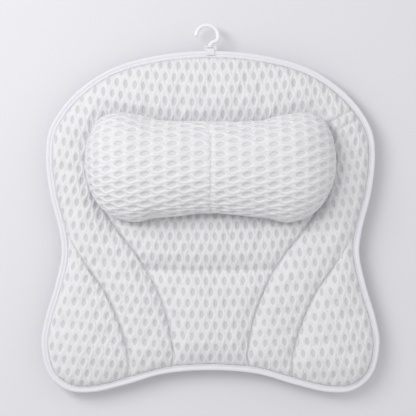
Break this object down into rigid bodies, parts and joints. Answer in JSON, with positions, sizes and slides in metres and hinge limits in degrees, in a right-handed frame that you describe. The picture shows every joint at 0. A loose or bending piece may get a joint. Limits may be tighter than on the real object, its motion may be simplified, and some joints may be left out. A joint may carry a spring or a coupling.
{
  "type": "bath pillow",
  "caption": "Quilted air-mesh bath pillow, butterfly-shaped, with a stuffed headrest, a bound edge, a swivel hanging hook and suction cups on its back.",
  "frame": {"origin": "on the surface the cups rest on, under the middle of the outline with the hook", "axes": "+Z is the way the face looks, +Y runs along the pad up to the hook, +X to the right when the face is looked at with the hook up"},
  "size_m": [0.42, 0.4584, 0.1037],
  "materials": {
    "air_mesh": "white polyester spacer mesh with oval openings",
    "back_mesh": "white polyester mesh backing",
    "binding_tape": "smooth white woven binding tape",
    "sewing_thread": "white polyester thread",
    "wadding": "white polyester wadding",
    "webbing": "white polyester webbing",
    "hook_plastic": "white moulded plastic",
    "clear_vinyl": "clear moulded vinyl"
  },
  "bodies": {
    "pad": {"front_upper_panel": "air_mesh", "front_centre_panel": "air_mesh", "left_lobe_panel": "air_mesh", "right_lobe_panel": "air_mesh", "headrest_left_cover": "air_mesh", "headrest_right_cover": "air_mesh", "headrest_base_panel": "air_mesh", "back_cover": "back_mesh", "edge_binding": "binding_tape", "hook_tab": "binding_tape", "binding_thread": "sewing_thread", "right_inner_seam_thread": "sewing_thread", "left_inner_seam_thread": "sewing_thread", "right_outer_seam_thread": "sewing_thread", "left_outer_seam_thread": "sewing_thread", "centre_tuck_thread": "sewing_thread", "headrest_seam_thread": "sewing_thread", "hook_tab_thread": "sewing_thread", "strap_1_left_stitching": "sewing_thread", "strap_1_right_stitching": "sewing_thread", "strap_2_left_stitching": "sewing_thread", "strap_2_right_stitching": "sewing_thread", "strap_3_left_stitching": "sewing_thread", "strap_3_right_stitching": "sewing_thread", "strap_4_left_stitching": "sewing_thread", "strap_4_right_stitching": "sewing_thread", "strap_5_left_stitching": "sewing_thread", "strap_5_right_stitching": "sewing_thread", "strap_6_left_stitching": "sewing_thread", "strap_6_right_stitching": "sewing_thread", "upper_wadding": "wadding", "centre_upper_wadding": "wadding", "centre_lower_wadding": "wadding", "left_lobe_wadding": "wadding", "right_lobe_wadding": "wadding", "headrest_filling": "wadding", "cup_strap_1": "webbing", "cup_strap_2": "webbing", "cup_strap_3": "webbing", "cup_strap_4": "webbing", "cup_strap_5": "webbing", "cup_strap_6": "webbing"},
    "base": {"hook_base": "hook_plastic"},
    "hook": {"hanging_hook": "hook_plastic"},
    "cup_1": {"suction_cup_1": "clear_vinyl"},
    "cup_2": {"suction_cup_2": "clear_vinyl"},
    "cup_3": {"suction_cup_3": "clear_vinyl"},
    "cup_4": {"suction_cup_4": "clear_vinyl"},
    "cup_5": {"suction_cup_5": "clear_vinyl"},
    "cup_6": {"suction_cup_6": "clear_vinyl"}
  },
  "joints": [
    {"name": "base_flap", "type": "hinge", "parent": "pad", "child": "base", "pos_m": [0, 0.19605, 0.02355], "axis": [1, 0, 0], "range_deg": [-75, 75]},
    {"name": "hook_swivel", "type": "hinge", "parent": "base", "child": "hook", "pos_m": [0, 0.1999, 0.02355], "axis": [0, 1, 0], "continuous": true},
    {"name": "cup_1_spin", "type": "hinge", "parent": "pad", "child": "cup_1", "pos_m": [-0.0966, 0.12267, 0.0148], "axis": [0, 0, 1], "continuous": true},
    {"name": "cup_2_spin", "type": "hinge", "parent": "pad", "child": "cup_2", "pos_m": [0.0966, 0.12267, 0.0148], "axis": [0, 0, 1], "continuous": true},
    {"name": "cup_3_spin", "type": "hinge", "parent": "pad", "child": "cup_3", "pos_m": [-0.126, -0.01725, 0.0148], "axis": [0, 0, 1], "continuous": true},
    {"name": "cup_4_spin", "type": "hinge", "parent": "pad", "child": "cup_4", "pos_m": [0.126, -0.01725, 0.0148], "axis": [0, 0, 1], "continuous": true},
    {"name": "cup_5_spin", "type": "hinge", "parent": "pad", "child": "cup_5", "pos_m": [-0.1344, -0.16989, 0.0148], "axis": [0, 0, 1], "continuous": true},
    {"name": "cup_6_spin", "type": "hinge", "parent": "pad", "child": "cup_6", "pos_m": [0.1344, -0.16989, 0.0148], "axis": [0, 0, 1], "continuous": true}
  ]
}
